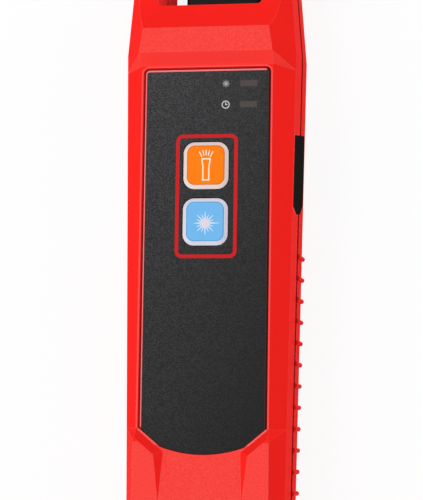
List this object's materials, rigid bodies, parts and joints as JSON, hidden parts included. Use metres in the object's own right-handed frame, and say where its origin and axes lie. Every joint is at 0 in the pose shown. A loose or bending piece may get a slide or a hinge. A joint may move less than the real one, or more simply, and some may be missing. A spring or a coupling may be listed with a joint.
{
  "type": "visual fault locator",
  "caption": "Hand-held red-laser fibre fault finder with a capped port in a notched end, keys on a dark face plate, a torch lamp and a sliding battery door.",
  "frame": {"origin": "centre of the bounding box in X and Y, at the height of the flat rear face", "axes": "+X to the right as seen from the keypad side, +Y along the body towards the fibre port, +Z out of the keypad face"},
  "size_m": [0.0406, 0.168, 0.026],
  "materials": {
    "front_shell": "satin moulded red plastic",
    "rear_shell": "satin moulded red plastic",
    "seam_gasket": "dark elastomer seal",
    "grip_pad": "matt black rubber",
    "face_plate": "fine matt dark grey",
    "torch_key": "satin orange with a pale border",
    "laser_key": "satin blue with a pale border",
    "switch_body": "moulded black",
    "switch_plunger": "moulded ivory",
    "laser_light_guide": "smoked, reddish",
    "timer_light_guide": "smoked, olive",
    "indicator_lamp": "pale chip package",
    "circuit_board": "green solder mask",
    "controller_chip": "moulded black package",
    "board_screws": "plated steel",
    "nose_block": "moulded black",
    "fibre_port": "nickel-plated brass",
    "ferrule_sleeve": "white ceramic",
    "laser_barrel": "turned brass",
    "focus_lens": "clear glass",
    "laser_diode": "gilt can and pins",
    "flex_strip": "amber film",
    "torch_led": "clear moulded lamp",
    "torch_lens": "clear window",
    "dust_cap": "soft black cap",
    "cell": "printed sleeve over steel",
    "contact": "nickel-plated spring steel",
    "battery_door": "satin moulded red plastic",
    "shell_screws": "plated steel",
    "thread_inserts": "knurled brass"
  },
  "bodies": {
    "housing": {"front_shell": "front_shell", "rear_shell": "rear_shell", "seam_gasket": "seam_gasket", "grip_pad_right": "grip_pad", "grip_pad_left": "grip_pad", "face_plate": "face_plate", "torch_switch": "switch_body", "laser_switch": "switch_body", "laser_light_guide": "laser_light_guide", "timer_light_guide": "timer_light_guide", "laser_lamp": "indicator_lamp", "timer_lamp": "indicator_lamp", "circuit_board": "circuit_board", "controller_chip": "controller_chip", "board_screws": "board_screws", "nose_block": "nose_block", "fibre_port": "fibre_port", "ferrule_sleeve": "ferrule_sleeve", "laser_barrel": "laser_barrel", "focus_lens": "focus_lens", "laser_diode": "laser_diode", "laser_flex": "flex_strip", "torch_flex": "flex_strip", "torch_led": "torch_led", "torch_lens": "torch_lens", "left_cell": "cell", "right_cell": "cell", "contact_plus": "contact", "contact_minus": "contact", "contact_bridge": "contact", "lower_cell_spring": "contact", "upper_cell_spring": "contact", "shell_screws": "shell_screws", "thread_inserts": "thread_inserts"},
    "torch_key": {"torch_key": "torch_key", "torch_plunger": "switch_plunger"},
    "laser_key": {"laser_key": "laser_key", "laser_plunger": "switch_plunger"},
    "dust_cap": {"dust_cap": "dust_cap"},
    "battery_door": {"battery_door": "battery_door"}
  },
  "joints": [
    {"name": "torch_press", "type": "slide", "parent": "housing", "child": "torch_key", "axis": [0, 0, -1], "range_m": [0, 0.0005], "stiffness_N_per_m": 3000},
    {"name": "laser_press", "type": "slide", "parent": "housing", "child": "laser_key", "axis": [0, 0, -1], "range_m": [0, 0.0005], "stiffness_N_per_m": 3000},
    {"name": "cap_pull", "type": "slide", "parent": "housing", "child": "dust_cap", "axis": [0, 1, 0], "range_m": [0, 0.03]},
    {"name": "door_slide", "type": "slide", "parent": "housing", "child": "battery_door", "axis": [0, -1, 0], "range_m": [0, 0.068]}
  ]
}
